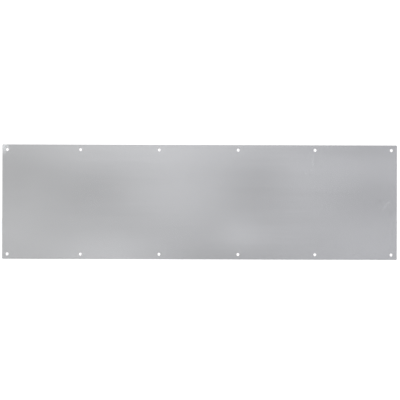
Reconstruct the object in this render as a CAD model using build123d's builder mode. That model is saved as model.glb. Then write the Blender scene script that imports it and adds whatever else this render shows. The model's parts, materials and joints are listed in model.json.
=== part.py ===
from build123d import *
from math import radians, tan
import os

# Kick plate: a satin sheet of metal that is screwed to the foot of a door, still under the clear film
# that guards its face until it is fitted. It stands as it does on the door: X runs along its length,
# Z is up, and -Y points away from the door. The origin is the centre of the back face, which lies
# against the door. Sizes are in millimetres.

# ---- Plate ----
plate_length = 876.3  # 34 1/2 in, for a door 36 in wide less 1 1/2 in
plate_height = 254.0  # 10 in
plate_thickness = 1.27  # 0.050 in
corner_radius = 1.5
bevel_width = 0.5  # across each of the four front edges, at 45 degrees

# ---- Screw holes, in one row along the top edge and one along the bottom ----
hole_margin = 11.1  # from the corner holes' centres to the nearest edges
column_shifts = (0.0, -8.3, -4.4, 0.0, 0.0, -1.6)  # each pair's place along X, from an even pitch
hole_diameter = 5.2
hole_land = 0.15  # straight wall left at the back, behind the countersink
countersink_angle = 82.0

# ---- Protective film ----
film_thickness = 0.08
film_setback = 0.3  # bare metal between the bevel and the film's edge
film_hole_gap = 0.3  # bare metal between a countersink and the film's hole

# ---- Worked out from the sizes above ----
first_column = hole_margin - plate_length / 2
even_pitch = -2 * first_column / (len(column_shifts) - 1)
hole_row = plate_height / 2 - hole_margin  # height of the top row; the bottom row is as far below
hole_places = [
    (first_column + even_pitch * column + shift, row)
    for column, shift in enumerate(column_shifts)
    for row in (-hole_row, hole_row)
]
countersink_depth = plate_thickness - hole_land
countersink_diameter = hole_diameter + 2 * countersink_depth * tan(radians(countersink_angle / 2))
film_inset = bevel_width + film_setback
film_hole_diameter = countersink_diameter + 2 * film_hole_gap

door_plane = Plane.XZ  # its normal is -Y, out of the door
front_plane = door_plane.offset(plate_thickness)

# ---- Plate: a flat sheet with bevelled front edges and countersunk holes ----
with BuildPart() as plate:
    with BuildSketch(door_plane):
        RectangleRounded(plate_length, plate_height, corner_radius)
    extrude(amount=plate_thickness)

    front_face = plate.faces().sort_by(Axis.Y)[0]
    chamfer(front_face.edges(), length=bevel_width)

    with Locations(front_plane):
        with Locations(*hole_places):
            CounterSinkHole(
                radius=hole_diameter / 2,
                counter_sink_radius=countersink_diameter / 2,
                counter_sink_angle=countersink_angle,
            )

# ---- Protective film: it clings to the flat of the front face, punched clear of each countersink ----
with BuildPart() as protective_film:
    with BuildSketch(front_plane):
        RectangleRounded(
            plate_length - 2 * film_inset,
            plate_height - 2 * film_inset,
            corner_radius - film_inset,
        )
        with Locations(*hole_places):
            Circle(film_hole_diameter / 2, mode=Mode.SUBTRACT)
    extrude(amount=film_thickness)

# ---- One STEP file for each piece ----
plate.part.label = "plate"
plate.part.color = Color(0.58, 0.59, 0.61)
protective_film.part.label = "protective_film"
protective_film.part.color = Color(0.90, 0.94, 0.98, 0.2)

os.makedirs("parts", exist_ok=True)
for piece in (plate.part, protective_film.part):
    export_step(piece, f"parts/{piece.label}.step")
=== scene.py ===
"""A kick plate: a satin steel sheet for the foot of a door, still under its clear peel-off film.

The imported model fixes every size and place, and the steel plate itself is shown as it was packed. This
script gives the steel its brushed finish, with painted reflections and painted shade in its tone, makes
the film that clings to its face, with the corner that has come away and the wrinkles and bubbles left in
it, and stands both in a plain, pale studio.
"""
import sys
import json
import logging
import math
from collections.abc import Callable
from dataclasses import dataclass, field
from enum import Enum

import bpy
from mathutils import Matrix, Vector
from mathutils.geometry import delaunay_2d_cdt


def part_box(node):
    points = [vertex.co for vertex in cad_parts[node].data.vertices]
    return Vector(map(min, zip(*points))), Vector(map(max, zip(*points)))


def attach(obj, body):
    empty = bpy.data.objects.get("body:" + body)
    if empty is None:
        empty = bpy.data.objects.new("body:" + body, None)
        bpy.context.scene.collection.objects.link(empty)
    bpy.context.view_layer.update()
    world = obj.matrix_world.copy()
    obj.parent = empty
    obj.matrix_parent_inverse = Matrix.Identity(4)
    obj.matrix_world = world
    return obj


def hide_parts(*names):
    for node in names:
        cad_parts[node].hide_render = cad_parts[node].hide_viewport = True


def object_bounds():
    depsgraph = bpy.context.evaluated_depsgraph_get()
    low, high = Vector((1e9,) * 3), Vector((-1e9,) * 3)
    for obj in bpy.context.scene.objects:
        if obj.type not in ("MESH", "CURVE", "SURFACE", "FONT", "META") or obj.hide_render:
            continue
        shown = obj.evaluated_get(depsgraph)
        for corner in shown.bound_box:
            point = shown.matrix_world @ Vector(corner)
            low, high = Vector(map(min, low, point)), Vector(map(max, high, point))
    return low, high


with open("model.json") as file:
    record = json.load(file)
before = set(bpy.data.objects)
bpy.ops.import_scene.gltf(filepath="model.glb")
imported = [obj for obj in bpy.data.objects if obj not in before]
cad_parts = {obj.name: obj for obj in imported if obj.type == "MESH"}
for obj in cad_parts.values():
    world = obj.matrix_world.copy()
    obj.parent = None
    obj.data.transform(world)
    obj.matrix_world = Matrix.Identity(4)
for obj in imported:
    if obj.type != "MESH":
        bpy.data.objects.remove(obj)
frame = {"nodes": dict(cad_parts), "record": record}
CAD_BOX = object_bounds()

log = logging.getLogger("kick_plate")

MM = 0.001  # a millimetre, in the scene's metres
USUAL_NOISE = (0.3, 0.7)  # where nearly all of a soft noise's values lie
WHITE = (1.0, 1.0, 1.0)

Colour = tuple[float, float, float]
Place = tuple[float, float, float]
Cell = tuple[float, float, float]  # how far a noise runs along X, Y and Z before it changes
Range = tuple[float, float]
Spot = tuple[float, float]  # a place on the plate's face: X along it, Z up it
Area = tuple[float, float, float, float]  # lowest X, lowest Z, highest X, highest Z
Socket = bpy.types.NodeSocket
Feed = Socket | float | tuple[float, ...]


# ---- Short calls for node trees ----


class Calc(Enum):
    """The sums that a node tree does, by the names that Blender gives them."""

    ADD = "ADD"
    TAKE = "SUBTRACT"
    TIMES = "MULTIPLY"
    TIMES_PLUS = "MULTIPLY_ADD"
    SIZE = "ABSOLUTE"
    LARGER = "MAXIMUM"


class NodeBoard:
    """A node tree that is laid out one step at a time."""

    MIX_INPUTS = (6, 7)  # a Mix node's two colour sockets
    MIX_OUTPUT = 2

    def __init__(self, tree: bpy.types.NodeTree) -> None:
        """Keeps the tree that the steps go on."""
        self.tree = tree

    def node(self, kind: str, **settings: object) -> bpy.types.Node:
        """Adds one node.

        Args:
            kind: Blender's name for the node, without its ShaderNode start.
            settings: the node's own properties, by name.

        Returns:
            The new node.
        """
        made = self.tree.nodes.new("ShaderNode" + kind)
        for name, value in settings.items():
            setattr(made, name, value)
        return made

    def feed(self, target: Socket, source: Feed) -> None:
        """Links a socket to a source, or sets it to a plain value.

        Args:
            target: the socket that is fed.
            source: another node's socket, or the value.
        """
        if isinstance(source, bpy.types.NodeSocket):
            self.tree.links.new(source, target)
        else:
            target.default_value = source

    def calc(self, sum_kind: Calc, *terms: Feed) -> Socket:
        """Does one sum.

        Args:
            sum_kind: which sum.
            terms: its inputs, in order.

        Returns:
            The socket that holds the answer.
        """
        made = self.node("Math", operation=sum_kind.value)
        for socket, term in zip(made.inputs, terms):
            self.feed(socket, term)
        return made.outputs[0]

    def part(self, vector: Socket, axis: str) -> Socket:
        """One of a vector's three parts.

        Args:
            vector: the vector.
            axis: X, Y or Z.

        Returns:
            That part.
        """
        split = self.node("SeparateXYZ")
        self.feed(split.inputs[0], vector)
        return split.outputs[axis]

    def remap(self, source: Socket, old: Range, new: Range, soft: bool = False) -> Socket:
        """Maps a value from one range to another, and holds it there beyond the ends.

        Args:
            source: the value.
            old: the range that it comes in.
            new: the range that it leaves in.
            soft: whether the change eases in and out at the ends.

        Returns:
            The mapped value.
        """
        made = self.node("MapRange", interpolation_type="SMOOTHSTEP" if soft else "LINEAR")
        self.feed(made.inputs["Value"], source)
        for name, value in zip(("From Min", "From Max", "To Min", "To Max"), (*old, *new)):
            made.inputs[name].default_value = value
        return made.outputs["Result"]

    def noise(self, place: Socket, cell: Cell, detail: float, shift: float = 0.0) -> Socket:
        """Spreads a soft noise over the surface.

        Args:
            place: the coordinates, in metres.
            cell: the size of its pattern, in metres.
            detail: how many finer layers it has.
            shift: a move that gives two noises of the same cell different patterns.

        Returns:
            A value about 0.5, mostly within USUAL_NOISE.
        """
        scaled = self.node("Mapping", vector_type="POINT")
        self.feed(scaled.inputs["Vector"], place)
        scaled.inputs["Location"].default_value = (shift, shift, shift)
        scaled.inputs["Scale"].default_value = tuple(1.0 / size for size in cell)
        made = self.node("TexNoise")
        self.feed(made.inputs["Vector"], scaled.outputs["Vector"])
        made.inputs["Scale"].default_value = 1.0
        made.inputs["Detail"].default_value = detail
        return made.outputs["Fac"]

    def blend(self, share: Feed, first: Colour | Socket, second: Colour | Socket) -> Socket:
        """Mixes two colours.

        Args:
            share: how much of the second, from 0 to 1.
            first: a colour.
            second: a colour.

        Returns:
            The mixed colour.
        """
        made = self.node("Mix", data_type="RGBA")
        self.feed(made.inputs["Factor"], share)
        for socket, colour in zip(self.MIX_INPUTS, (first, second)):
            plain = not isinstance(colour, bpy.types.NodeSocket)
            self.feed(made.inputs[socket], (*colour, 1.0) if plain else colour)
        return made.outputs[self.MIX_OUTPUT]


class Recipe(NodeBoard):
    """A material with one Principled shader, under construction."""

    def __init__(self, name: str) -> None:
        """Starts a material.

        Args:
            name: what it is called.
        """
        self.material = bpy.data.materials.new(name)
        self.material.use_nodes = True
        super().__init__(self.material.node_tree)
        self.shader = self.tree.nodes["Principled BSDF"]
        self.place = self.node("TexCoord").outputs["Object"]

    def fit(self, **values: Feed) -> None:
        """Sets or links the shader's sockets, named with _ for a space."""
        for name, value in values.items():
            self.feed(self.shader.inputs[name.replace("_", " ")], value)

    def relief(self, height: Socket, depth: float, strength: float) -> None:
        """Presses a fine relief into the surface.

        Args:
            height: the pattern, from 0 to 1.
            depth: how deep 1 is, in metres.
            strength: how much of it shows.
        """
        bump = self.node("Bump")
        bump.inputs["Strength"].default_value = strength
        bump.inputs["Distance"].default_value = depth
        self.feed(bump.inputs["Height"], height)
        self.feed(self.shader.inputs["Normal"], bump.outputs["Normal"])


def shade(colour: Colour, times: float) -> Colour:
    """A colour made lighter or darker."""
    return tuple(min(channel * times, 1.0) for channel in colour)


# ---- Finishes ----


@dataclass(frozen=True)
class PaintedReflectionAndSpot:
    """A soft patch, mostly a broad one, where the steel's tone is drawn lighter or darker: the broad ones are
    painted reflections of the room, the smallest are darker spots.
    """

    place: Spot
    reach: Spot  # how far it fades out along X and Z
    strength: float  # the change in tone at its middle, as a share


def painted_reflection_and_spot(x: float, z: float, reach_x: float, reach_z: float, strength: float) -> PaintedReflectionAndSpot:
    """A painted patch from sizes in millimetres."""
    return PaintedReflectionAndSpot((x * MM, z * MM), (reach_x * MM, reach_z * MM), strength)


@dataclass(frozen=True)
class SatinSteel:
    """Stainless steel brushed along its length, with bright countersinks, a plainer back, and painted
    reflections and painted shade in its tone.
    """

    tint: Colour = (0.5887, 0.593, 0.6027)
    far_reflection_tint: Colour = (0.5887, 0.593, 0.6215)  # towards the right end: a painted reflection of cooler light that makes the steel a touch bluer
    cut_tint: Colour = (0.95, 0.95, 0.96)  # bare bright metal, where the drill went through
    contrast: float = 1.20  # between the lightest and the darkest tone that the pattern can reach
    roughness: float = 0.30
    roughness_spread: float = 0.02  # either way, between one scratch and the next
    cut_roughness: float = 0.38
    back_roughness: float = 0.40
    grain_pull: float = 0.55  # how far the brushing draws a reflection out across the grain
    long_streak: Cell = (0.35, 1.0, 0.0042)  # the broad brush marks
    fine_streak: Cell = (0.045, 1.0, 0.0005)  # the single scratches
    broad_share: float = 0.65  # how much of the pattern is broad marks; the rest is scratches
    streak_tone: float = 0.05
    groove_depth: float = 0.004 * MM
    bevel: float = 0.55 * MM  # how far in from each side the bevel with painted shade reaches
    bevel_blur: float = 0.1 * MM  # either way, over which it starts
    flat: Range = (0.80, 0.95)  # how far a side faces forward or back: turned below it, flat above
    back_facing: Range = (0.4, 0.6)  # how far it faces back, where it becomes the back
    up_facing: Range = (0.3, 0.6)  # how far it faces up, where it becomes the top
    # painted shade on the bevels, darker than the face
    bevel_painted_shade: float = -0.30
    top_bevel_painted_shade: float = -0.60  # painted shade: the top bevel, which faces the light, drawn darker still
    # painted reflections of the room, as broad lighter and darker clouds; the last four are small darker
    # spots beside the film's wrinkles and bubbles
    painted_reflections_and_spots: tuple[PaintedReflectionAndSpot, ...] = (
        painted_reflection_and_spot(-115, 127, 370, 80, 0.165),
        painted_reflection_and_spot(-60, 30, 150, 125, 0.115),
        painted_reflection_and_spot(-210, -118, 230, 88, 0.155),
        painted_reflection_and_spot(-400, 65, 150, 85, -0.08),
        painted_reflection_and_spot(-258, 22, 130, 80, -0.09),
        painted_reflection_and_spot(-421, -80, 130, 90, 0.075),
        painted_reflection_and_spot(135, 25, 110, 110, -0.10),
        painted_reflection_and_spot(95, -75, 90, 65, 0.075),
        painted_reflection_and_spot(56, -124, 260, 50, -0.10),
        painted_reflection_and_spot(250, 80, 150, 72, 0.045),
        painted_reflection_and_spot(355, 125, 210, 50, -0.09),
        painted_reflection_and_spot(385, 8, 160, 75, -0.095),
        painted_reflection_and_spot(379, -90, 110, 60, 0.03),
        painted_reflection_and_spot(256.8, 91, 4.5, 20, -0.04),
        painted_reflection_and_spot(244, 62, 5.5, 4, -0.04),
        painted_reflection_and_spot(400, 3, 8, 8, -0.053),
        painted_reflection_and_spot(426, -23, 7, 10, -0.058),
    )

    def material(self) -> bpy.types.Material:
        """Makes the material.

        Returns:
            The finished material.
        """
        recipe = Recipe("satin_steel_brushed")
        streaks = self._streaks(recipe)
        bevel, top_bevel_shade_mask, cut, back = self._sides(recipe)
        change = recipe.remap(streaks, USUAL_NOISE, (-self.streak_tone / 2, self.streak_tone / 2))
        # painted shade: the bevels drawn darker, the top one darker still
        change = recipe.calc(Calc.TIMES_PLUS, bevel, self.bevel_painted_shade, change)
        change = recipe.calc(Calc.TIMES_PLUS, top_bevel_shade_mask, self.top_bevel_painted_shade - self.bevel_painted_shade, change)
        # painted reflections, and the small darker spots
        for patch in self.painted_reflections_and_spots:
            change = recipe.calc(Calc.TIMES_PLUS, self._patch(recipe, patch), patch.strength, change)
        unchanged = 0.5  # halfway between the darkest tone and the lightest
        tone = recipe.calc(Calc.TIMES_PLUS, change, 1.0 / self.contrast, unchanged)
        face = self._toned(recipe, tone)
        colour = recipe.blend(cut, face, self.cut_tint)
        smoothest, roughest = self.roughness - self.roughness_spread, self.roughness + self.roughness_spread
        gloss = recipe.remap(streaks, USUAL_NOISE, (smoothest, roughest))
        gloss = recipe.calc(Calc.TIMES_PLUS, back, self.back_roughness - self.roughness, gloss)
        gloss = recipe.calc(Calc.TIMES_PLUS, cut, self.cut_roughness - self.roughness, gloss)
        quarter_turn = 0.25  # from along the grain to across it
        recipe.fit(Base_Color=colour, Roughness=gloss, Metallic=1.0)
        recipe.fit(Anisotropic=self.grain_pull, Anisotropic_Rotation=quarter_turn)
        recipe.fit(Tangent=self._grain(recipe))
        recipe.relief(streaks, self.groove_depth, strength=0.5)
        return recipe.material

    def _grain(self, recipe: Recipe) -> Socket:
        """The way that the brushing runs: level, along whichever side it is on.

        Args:
            recipe: the material under construction.

        Returns:
            The direction.
        """
        up = (0.0, 0.0, 1.0)
        level = recipe.node("VectorMath", operation="CROSS_PRODUCT")
        recipe.feed(level.inputs[0], recipe.node("NewGeometry").outputs["Normal"])
        level.inputs[1].default_value = up
        return level.outputs["Vector"]

    def _toned(self, recipe: Recipe, tone: Socket) -> Socket:
        """The steel's colour, with a painted reflection of cooler light that makes it bluer towards the right
        end.

        Args:
            recipe: the material under construction.
            tone: from the darkest tone, 0, to the lightest, 1.

        Returns:
            The colour.
        """
        along = recipe.remap(recipe.part(recipe.place, "X"), (CAD_BOX[0].x, CAD_BOX[1].x), (0.0, 1.0))
        darkest, lightest = (
            recipe.blend(along, shade(self.tint, times), shade(self.far_reflection_tint, times))
            for times in (1.0 - self.contrast / 2, 1.0 + self.contrast / 2)
        )
        return recipe.blend(tone, darkest, lightest)

    def _patch(self, recipe: Recipe, patch: PaintedReflectionAndSpot) -> Socket:
        """One soft patch.

        Args:
            recipe: the material under construction.
            patch: where it is and how far it reaches.

        Returns:
            A value that is 1 in its middle and falls to 0.
        """
        scaled = recipe.node("Mapping", vector_type="TEXTURE")
        recipe.feed(scaled.inputs["Vector"], recipe.place)
        scaled.inputs["Location"].default_value = (patch.place[0], 0.0, patch.place[1])
        scaled.inputs["Scale"].default_value = (patch.reach[0], 1.0, patch.reach[1])
        ball = recipe.node("TexGradient", gradient_type="SPHERICAL")
        recipe.feed(ball.inputs["Vector"], scaled.outputs["Vector"])
        return recipe.remap(ball.outputs["Fac"], (0.0, 1.0), (0.0, 1.0), soft=True)

    def _streaks(self, recipe: Recipe) -> Socket:
        """The brush marks: broad ones with fine scratches between them.

        Args:
            recipe: the material under construction.

        Returns:
            The pattern, mostly within USUAL_NOISE.
        """
        broad = recipe.noise(recipe.place, self.long_streak, detail=3.0)
        fine = recipe.noise(recipe.place, self.fine_streak, detail=2.0, shift=7.0)
        scratches = recipe.calc(Calc.TIMES, fine, 1.0 - self.broad_share)
        return recipe.calc(Calc.TIMES_PLUS, broad, self.broad_share, scratches)

    def _sides(self, recipe: Recipe) -> tuple[Socket, Socket, Socket, Socket]:
        """Tells the plate's surfaces apart by where they are and which way they face.

        Args:
            recipe: the material under construction.

        Returns:
            A value that is 1 on the bevels and outer edges, one that is 1 on the top ones of those, one
            that is 1 in the holes, and one that is 1 on the back.
        """
        facing = recipe.node("TexCoord").outputs["Normal"]
        backward = recipe.part(facing, "Y")
        turned = recipe.remap(recipe.calc(Calc.SIZE, backward), self.flat, (1.0, 0.0))
        past = [
            recipe.calc(Calc.TAKE, recipe.calc(Calc.SIZE, recipe.part(recipe.place, axis)), size - self.bevel)
            for axis, size in (("X", CAD_BOX[1].x), ("Z", CAD_BOX[1].z))
        ]
        rim = recipe.remap(recipe.calc(Calc.LARGER, *past), (-self.bevel_blur, self.bevel_blur), (0.0, 1.0))
        inner = recipe.calc(Calc.TAKE, 1.0, rim)
        bevel = recipe.calc(Calc.TIMES, turned, rim)
        upward = recipe.remap(recipe.part(facing, "Z"), self.up_facing, (0.0, 1.0))
        top_bevel_shade_mask = recipe.calc(Calc.TIMES, bevel, upward)
        cut = recipe.calc(Calc.TIMES, turned, inner)
        return bevel, top_bevel_shade_mask, cut, recipe.remap(backward, self.back_facing, (0.0, 1.0))


@dataclass(frozen=True)
class ClearFilm:
    """Thin low-tack plastic, clear where it clings and milky where it has come away."""

    tint: Colour = (0.93, 0.95, 0.97)
    clear: float = 0.018  # how much of its outer face shows where the film clings
    milky: float = 0.30  # and where it has come away
    uneven: Range = (0.5, 1.5)  # how far the clear part varies, in shares of it
    glancing: float = 0.10  # what a low angle adds
    glancing_blend: float = 0.35  # how soon that starts
    gloss: Range = (0.17, 0.30)  # its roughness, from where it clings best to where it clings worst
    shades: Range = (0.96, 1.03)  # and its tint there
    haze: Cell = (0.10, 0.10, 0.07)  # the slow changes in how well it clings
    ripple: Cell = (0.14, 0.14, 0.09)  # its slow ripples
    ripple_depth: float = 0.1 * MM

    def material(self) -> bpy.types.Material:
        """Makes the material.

        Returns:
            The finished material.
        """
        recipe = Recipe("clear_peel_film")
        haze = recipe.noise(recipe.place, self.haze, detail=2.0)
        ripple = recipe.noise(recipe.place, self.ripple, detail=0.0, shift=3.0)
        lifted = recipe.node("Attribute", attribute_name=FilmSheet.LIFTED).outputs["Fac"]
        outer = recipe.node("Attribute", attribute_name=FilmSheet.OUTER).outputs["Fac"]
        rim = recipe.node("LayerWeight")
        rim.inputs["Blend"].default_value = self.glancing_blend
        least, most = self.uneven
        shown = recipe.remap(haze, USUAL_NOISE, (self.clear * least, self.clear * most))
        shown = recipe.calc(Calc.TIMES_PLUS, lifted, self.milky - self.clear, shown)
        shown = recipe.calc(Calc.TIMES_PLUS, rim.outputs["Facing"], self.glancing, shown)
        shown = recipe.calc(Calc.TIMES, shown, outer)
        colour = recipe.blend(haze, *(shade(self.tint, times) for times in self.shades))
        gloss = recipe.remap(haze, USUAL_NOISE, self.gloss)
        recipe.fit(Base_Color=colour, Roughness=gloss, Alpha=shown, IOR=1.5)
        recipe.relief(ripple, self.ripple_depth, strength=0.4)
        return recipe.material


@dataclass(frozen=True)
class PaleFloor:
    """A smooth white studio floor, with a faint mottle."""

    tint: Colour = (0.90, 0.90, 0.90)
    glow: float = 0.13  # what lifts it to clean white under soft light
    mottle: Cell = (0.4, 0.4, 0.4)
    shades: Range = (0.98, 1.02)  # of its tint, in the mottle
    roughness: float = 0.6

    def material(self) -> bpy.types.Material:
        """Makes the material.

        Returns:
            The finished material.
        """
        recipe = Recipe("pale_floor")
        mottle = recipe.noise(recipe.place, self.mottle, detail=2.0)
        colour = recipe.blend(mottle, *(shade(self.tint, times) for times in self.shades))
        recipe.fit(Base_Color=colour, Roughness=self.roughness)
        recipe.fit(Emission_Color=(*WHITE, 1.0), Emission_Strength=self.glow)
        return recipe.material


# ---- What has come away in the film ----


def eased(value: float) -> float:
    """A value held between 0 and 1, with soft ends."""
    held = min(max(value, 0.0), 1.0)
    return held * held * (3.0 - 2.0 * held)


def within(spot: Spot, area: Area) -> bool:
    """Whether a place lies inside an area."""
    return area[0] <= spot[0] <= area[2] and area[1] <= spot[1] <= area[3]


@dataclass(frozen=True)
class CurledCorner:
    """The film's upper left corner, peeled off the steel and curled towards the viewer."""

    corner: Spot
    along: float = 21.0 * MM  # how far the curled part runs along the top edge
    down: float = 25.0 * MM  # and down the side
    curl_radius: float = 42.0 * MM
    most_curl: float = math.radians(60)
    hazy_along: float = 17.0 * MM  # how far the milky part runs along the top edge
    hazy_down: float = 26.0 * MM  # and down the side
    softness: float = 0.6  # the share of that over which it fades out
    pitch: float = 0.9 * MM

    def area(self) -> Area:
        """The part of the film that it reshapes."""
        x, z = self.corner
        return x, z - self.down, x + self.along, z

    def height(self, x: float, z: float) -> float:
        """How far a point has risen off the steel.

        Args:
            x: where it is along the plate.
            z: and up the plate.

        Returns:
            The rise, 0 as far as the crease and then round the curl.
        """
        share = (x - self.corner[0]) / self.along + (self.corner[1] - z) / self.down
        past_crease = (1.0 - share) * self.along * self.down / math.hypot(self.along, self.down)
        turn = min(max(past_crease, 0.0) / self.curl_radius, self.most_curl)
        return self.curl_radius * (1.0 - math.cos(turn))

    def milkiness(self, x: float, z: float) -> float:
        """How milky a point is, from 0 to 1."""
        out = math.hypot((x - self.corner[0]) / self.hazy_along, (self.corner[1] - z) / self.hazy_down)
        return eased((1.0 - out) / self.softness)


@dataclass(frozen=True)
class Wrinkle:
    """A narrow straight ridge, where the film was laid with a fold in it."""

    start: Spot
    end: Spot
    width: float = 3.0 * MM
    rise: float = 0.25 * MM
    cloudiness: float = 0.26
    steepness: float = 4.0  # of its sides
    pitch: float = 0.8 * MM

    def area(self) -> Area:
        """The part of the film that it reshapes.

        Returns:
            The ridge's own area, and its width round it.
        """
        left, right = sorted((self.start[0], self.end[0]))
        bottom, top = sorted((self.start[1], self.end[1]))
        return left - self.width, bottom - self.width, right + self.width, top + self.width

    def _share(self, x: float, z: float) -> float:
        """How much of the ridge's full height a point has.

        Args:
            x: where it is along the plate.
            z: and up the plate.

        Returns:
            The share, which falls off to both sides and towards both ends.
        """
        run_x, run_z = self.end[0] - self.start[0], self.end[1] - self.start[1]
        length = math.hypot(run_x, run_z)
        off_x, off_z = x - self.start[0], z - self.start[1]
        along = (off_x * run_x + off_z * run_z) / length**2
        if not 0.0 < along < 1.0:
            return 0.0
        across = (off_x * run_z - off_z * run_x) / length / self.width
        return math.exp(-self.steepness * across * across) * math.sqrt(math.sin(math.pi * along))

    def height(self, x: float, z: float) -> float:
        """How far a point has risen off the steel."""
        return self.rise * self._share(x, z)

    def milkiness(self, x: float, z: float) -> float:
        """How milky a point is, from 0 to 1."""
        return self.cloudiness * self._share(x, z)


@dataclass(frozen=True)
class Bubble:
    """A small blister of trapped air."""

    centre: Spot
    wide: float
    tall: float
    rise: float
    cloudiness: float
    pitch: float = 0.8 * MM

    def area(self) -> Area:
        """The part of the film that it reshapes."""
        x, z = self.centre
        return x - self.wide / 2, z - self.tall / 2, x + self.wide / 2, z + self.tall / 2

    def _share(self, x: float, z: float) -> float:
        """How much of the blister's full height a point has.

        Args:
            x: where it is along the plate.
            z: and up the plate.

        Returns:
            The share, 1 in its middle and 0 from its edge on.
        """
        off_x = 2.0 * (x - self.centre[0]) / self.wide
        off_z = 2.0 * (z - self.centre[1]) / self.tall
        return eased(1.0 - math.hypot(off_x, off_z))

    def height(self, x: float, z: float) -> float:
        """How far a point has risen off the steel."""
        return self.rise * self._share(x, z)

    def milkiness(self, x: float, z: float) -> float:
        """How milky a point is, from 0 to 1."""
        return self.cloudiness * self._share(x, z)


def blister(x: float, z: float, wide: float, tall: float, rise: float, cloudiness: float) -> Bubble:
    """A bubble from sizes in millimetres."""
    return Bubble((x * MM, z * MM), wide * MM, tall * MM, rise * MM, cloudiness)


LooseSpot = CurledCorner | Wrinkle | Bubble


# ---- Sub-assemblies ----


@dataclass
class SteelPlate:
    """The brushed steel sheet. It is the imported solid, and only its finish is made here."""

    node: str = "plate"
    finish: SatinSteel = field(default_factory=SatinSteel)

    def dress(self) -> bpy.types.Object:
        """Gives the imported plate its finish.

        Returns:
            The plate.
        """
        plate = frame["nodes"][self.node]
        material = self.finish.material()
        for slot in plate.material_slots:
            slot.material = material
        return plate


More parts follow.
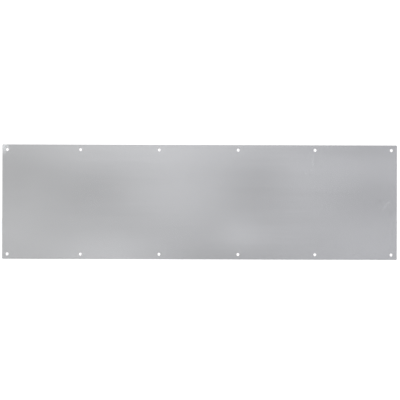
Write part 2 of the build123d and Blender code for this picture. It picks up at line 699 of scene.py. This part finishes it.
@dataclass
class FilmSheet:
    """The clear film over the plate's face, punched round each countersink."""

    LIFTED = "lifted"  # the mesh attribute that says how far the film has come away
    OUTER = "outer"  # and the one that is 1 on its outer face and 0 on the side that clings

    node: str = "protective_film"
    slot: str = "clear_film"
    finish: ClearFilm = field(default_factory=ClearFilm)
    standoff: float = 0.02 * MM  # the adhesive, between the steel and the film's back
    corner_radius: float = 0.7 * MM
    corner_steps: int = 4
    punch_radius: float = 3.87 * MM
    punch_steps: int = 40
    edge_step: float = 1.5 * MM
    lattice_pitch: float = 12.0 * MM
    row_step: float = 0.866  # from one row of a lattice to the next, in shares of its pitch
    margin: float = 0.4  # what a lattice leaves free at an edge, in shares of its pitch
    weld: float = 1e-8  # points nearer than this are one
    sharp_angle: float = math.radians(50)

    def __post_init__(self) -> None:
        """Reads the film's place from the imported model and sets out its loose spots."""
        low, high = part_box(self.node)
        self.low, self.high = low, high
        self.loose: list[LooseSpot] = [
            CurledCorner(corner=(low.x, high.z)),
            Wrinkle(start=(251 * MM, 109 * MM), end=(251.5 * MM, 74 * MM)),
            blister(235, 64, 8, 9, rise=0.2, cloudiness=0.44),
            blister(248, 71, 10, 9, rise=0.15, cloudiness=0.22),
            Wrinkle(start=(426 * MM, 5 * MM), end=(404 * MM, -15 * MM), width=6 * MM, cloudiness=0.22),
        ]

    def punches(self) -> list[Spot]:
        """The centres of the screw holes, from the record's mounts.

        Returns:
            One place for each hole.
        """
        centres = []
        for mount in frame["record"]["mounts"]:
            if mount["kind"] != "bolt_pattern":
                continue
            x, _, z = mount["pos_m"]
            half_x = mount["dims"]["spacing_x_mm"] * MM / 2
            half_z = mount["dims"]["spacing_y_mm"] * MM / 2
            centres += [(x + side * half_x, z + row * half_z) for side in (-1, 1) for row in (-1, 1)]
        return centres

    def outline(self) -> list[Spot]:
        """The film's edge, once round, with a short arc at each corner.

        Returns:
            The places along it.
        """
        radius = self.corner_radius
        left, right = self.low.x + radius, self.high.x - radius
        bottom, top = self.low.z + radius, self.high.z - radius
        arcs = []
        for turn, (x, z) in enumerate(((right, top), (left, top), (left, bottom), (right, bottom))):
            for step in range(self.corner_steps + 1):
                angle = (turn + step / self.corner_steps) * math.pi / 2
                arcs.append((x + radius * math.cos(angle), z + radius * math.sin(angle)))
        edge = []
        for here, there in zip(arcs, arcs[1:] + arcs[:1]):
            parts = max(1, round(math.dist(here, there) / self.edge_step))
            run_x, run_z = there[0] - here[0], there[1] - here[1]
            edge += [
                (here[0] + run_x * part / parts, here[1] + run_z * part / parts)
                for part in range(parts)
            ]
        return edge

    def _near_loose(self, spot: Spot) -> bool:
        """Whether a place lies within any loose spot's area."""
        return any(within(spot, loose.area()) for loose in self.loose)

    def lattice(self) -> list[Spot]:
        """The places inside the film's edge: a wide lattice, and a close one at each loose spot.

        Returns:
            The places.
        """
        whole = (self.low.x, self.low.z, self.high.x, self.high.z)
        places = self._grid(whole, self.lattice_pitch, lambda spot: not self._near_loose(spot))
        done: list[Area] = []
        for loose in self.loose:
            fresh = self._grid(loose.area(), loose.pitch, lambda spot: True)
            places += [spot for spot in fresh if not any(within(spot, area) for area in done)]
            done.append(loose.area())
        return places

    def _grid(self, area: Area, pitch: float, wanted: Callable[[Spot], bool]) -> list[Spot]:
        """A triangular lattice over an area, clear of the film's edge and its holes.

        Args:
            area: where the lattice goes.
            pitch: from one place to the next.
            wanted: a further test of each place.

        Returns:
            The places.
        """
        left, bottom, right, top = area
        rows = int((top - bottom) / (pitch * self.row_step)) + 1
        columns = int((right - left) / pitch) + 1
        holes = self.punches()
        free = self.margin * pitch
        inner = (self.low.x + free, self.low.z + free, self.high.x - free, self.high.z - free)
        places = []
        for row in range(rows):
            half_step = 0.5 * (row % 2)  # every other row stands half a step along
            for column in range(columns):
                spot = (left + (column + half_step) * pitch, bottom + row * pitch * self.row_step)
                off_holes = all(math.dist(spot, hole) > self.punch_radius + free for hole in holes)
                if off_holes and within(spot, inner) and wanted(spot):
                    places.append(spot)
        return places

    def _flat_sheet(self) -> tuple[list[Spot], list[tuple[int, int, int]]]:
        """Cuts the flat sheet into triangles.

        Returns:
            The places of its points, and the triangles as point numbers.
        """
        loops = [self.outline()]
        for x, z in self.punches():
            angles = [2 * math.pi * step / self.punch_steps for step in range(self.punch_steps)]
            loops.append([
                (x + self.punch_radius * math.cos(angle), z + self.punch_radius * math.sin(angle))
                for angle in angles
            ])
        points: list[Vector] = []
        edges: list[tuple[int, int]] = []
        for loop in loops:
            first = len(points)
            points += [Vector(place) for place in loop]
            edges += [(first + step, first + (step + 1) % len(loop)) for step in range(len(loop))]
        points += [Vector(place) for place in self.lattice()]
        inside_edges = 1
        made, _, faces, *_ = delaunay_2d_cdt(points, edges, [], inside_edges, self.weld)
        holes = [Vector(place) for place in self.punches()]
        kept = []
        for face in faces:
            middle = sum((made[point] for point in face), Vector((0.0, 0.0))) / len(face)
            if all((middle - hole).length > self.punch_radius for hole in holes):
                kept.append(tuple(face))
        return [tuple(point) for point in made], kept

    def _rise(self, x: float, z: float) -> float:
        """How far a point has risen off the steel, over all the loose spots."""
        return sum(loose.height(x, z) for loose in self.loose)

    def _milkiness(self, x: float, z: float) -> float:
        """How milky a point is, over all the loose spots."""
        return sum(loose.milkiness(x, z) for loose in self.loose)

    def build(self) -> bpy.types.Object:
        """Makes the film as a closed thin shell.

        Returns:
            The film, riding on the plate's body.
        """
        places, faces = self._flat_sheet()
        count = len(places)
        front = [(x, self.low.y - self._rise(x, z), z) for x, z in places]
        back = [(x, self.high.y - self.standoff - self._rise(x, z), z) for x, z in places]
        outer = [tuple(face) for face in faces]
        inner = [tuple(point + count for point in reversed(face)) for face in faces]
        sides = [(b, a, a + count, b + count) for a, b in self._rims(outer)]
        mesh = bpy.data.meshes.new("film_sheet")
        mesh.from_pydata(front + back, [], outer + inner + sides)
        lifted = mesh.attributes.new(self.LIFTED, "FLOAT", "POINT")
        lifted.data.foreach_set("value", [self._milkiness(x, z) for x, z in places] * 2)
        outward = mesh.attributes.new(self.OUTER, "FLOAT", "POINT")
        outward.data.foreach_set("value", [1.0] * count + [0.0] * count)
        mesh.shade_smooth()
        mesh.set_sharp_from_angle(angle=self.sharp_angle)
        mesh.validate()
        film = bpy.data.objects.new("film_sheet", mesh)
        bpy.context.scene.collection.objects.link(film)
        self._dress(film)
        return film

    @staticmethod
    def _rims(faces: list[tuple[int, ...]]) -> list[tuple[int, int]]:
        """The edges that only one face has.

        Args:
            faces: the faces, as point numbers.

        Returns:
            Each such edge's two points, in its face's direction.
        """
        runs = {(face[i], face[(i + 1) % len(face)]) for face in faces for i in range(len(face))}
        return [run for run in sorted(runs) if run[::-1] not in runs]

    def _dress(self, film: bpy.types.Object) -> None:
        """Finishes the film, hangs it on the plate's body and hides the imported film that it stands in for.

        Args:
            film: the film's object.
        """
        film.data.materials.append(self.finish.material())
        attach(film, "root")
        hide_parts(self.node)


# ---- Studio ----


@dataclass(frozen=True)
class Softbox:
    """A flat studio light that isn't seen itself, only by what it does."""

    name: str
    place: Place
    aim: Place
    wide: float
    tall: float
    power: float

    def build(self) -> bpy.types.Object:
        """Makes the light.

        Returns:
            The light.
        """
        light = bpy.data.lights.new(self.name, "AREA")
        light.shape = "RECTANGLE"
        light.size, light.size_y = self.wide, self.tall
        light.energy = self.power
        box = bpy.data.objects.new(self.name, light)
        box.location = self.place
        towards = Vector(self.aim) - Vector(self.place)
        box.rotation_euler = towards.to_track_quat("-Z", "Y").to_euler()
        box.visible_camera = False
        bpy.context.scene.collection.objects.link(box)
        return box


@dataclass
class Studio:
    """The floor, the room's soft light, the softboxes and the camera."""

    floor_finish: PaleFloor = field(default_factory=PaleFloor)
    floor_size: float = 12.0
    floor_gap: float = 0.05 * MM
    room_low: float = 0.62  # the room's light from below
    room_level: float = 0.70  # from level with the plate
    room_high: float = 1.15  # from above
    backdrop: float = 1.2  # the least that the room shows behind the plate
    camera_distance: float = 3.0
    filled: float = 0.9867  # the share of the picture's width that the plate takes
    camera_right: float = 0.95 * MM
    camera_up: float = 4.70 * MM
    camera_roll: float = math.radians(-0.172)
    boxes: tuple[Softbox, ...] = (
        Softbox("overhead", place=(-0.2, -1.1, 1.7), aim=(0.0, 0.0, 0.0), wide=1.8, tall=1.0, power=22.0),
    )

    def build(self) -> None:
        """Sets up the whole studio."""
        self._floor()
        self._room()
        for box in self.boxes:
            box.build()
        self._camera()
        bpy.context.scene.view_settings.view_transform = "Standard"

    def _floor(self) -> None:
        """Lays the floor just under the plate's lower edge."""
        half = self.floor_size / 2
        level = CAD_BOX[0].z - self.floor_gap
        mesh = bpy.data.meshes.new("studio_floor")
        corners = [(-half, -half, level), (half, -half, level), (half, half, level), (-half, half, level)]
        mesh.from_pydata(corners, [], [(0, 1, 2, 3)])
        mesh.materials.append(self.floor_finish.material())
        floor = bpy.data.objects.new("studio_floor", mesh)
        bpy.context.scene.collection.objects.link(floor)
        floor.visible_glossy = False

    def _room(self) -> None:
        """Fills the room with soft light that grows towards the ceiling, against a white backdrop."""
        world = bpy.data.worlds.new("studio_room")
        world.use_nodes = True
        bpy.context.scene.world = world
        board = NodeBoard(world.node_tree)
        upward = board.part(board.node("TexCoord").outputs["Generated"], "Z")
        upper = board.remap(upward, (0.0, 1.0), (self.room_level, self.room_high))
        lower = board.remap(upward, (-1.0, 0.0), (self.room_low - self.room_level, 0.0))
        level = board.calc(Calc.ADD, upper, lower)
        seen = board.node("LightPath").outputs["Is Camera Ray"]
        background = world.node_tree.nodes["Background"]
        background.inputs["Color"].default_value = (*WHITE, 1.0)
        least = board.calc(Calc.TIMES, seen, self.backdrop)
        board.feed(background.inputs["Strength"], board.calc(Calc.LARGER, level, least))

    def _camera(self) -> None:
        """Stands the camera square on to the plate's face."""
        low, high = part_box("plate")
        middle = (low + high) / 2
        data = bpy.data.cameras.new("camera")
        half_width = (high.x - low.x) / 2 / self.filled
        data.lens = data.sensor_width / 2 * self.camera_distance / half_width
        data.clip_start, data.clip_end = 0.1, 50.0
        camera = bpy.data.objects.new("camera", data)
        camera.location = (
            middle.x + self.camera_right,
            low.y - self.camera_distance,
            middle.z + self.camera_up,
        )
        camera.rotation_euler = (math.pi / 2, self.camera_roll, 0.0)
        bpy.context.scene.collection.objects.link(camera)
        bpy.context.scene.camera = camera


def main() -> None:
    """Builds the plate, the film and the studio, in that order."""
    logging.basicConfig(level=logging.INFO, format="%(name)s: %(message)s", stream=sys.stdout)
    plate = SteelPlate().dress()
    log.info("%s: %d faces, brushed steel", plate.name, len(plate.data.polygons))
    film = FilmSheet().build()
    log.info("%s: %d faces, clear film", film.name, len(film.data.polygons))
    Studio().build()
    log.info("studio ready")


if __name__ == "__main__":
    main()
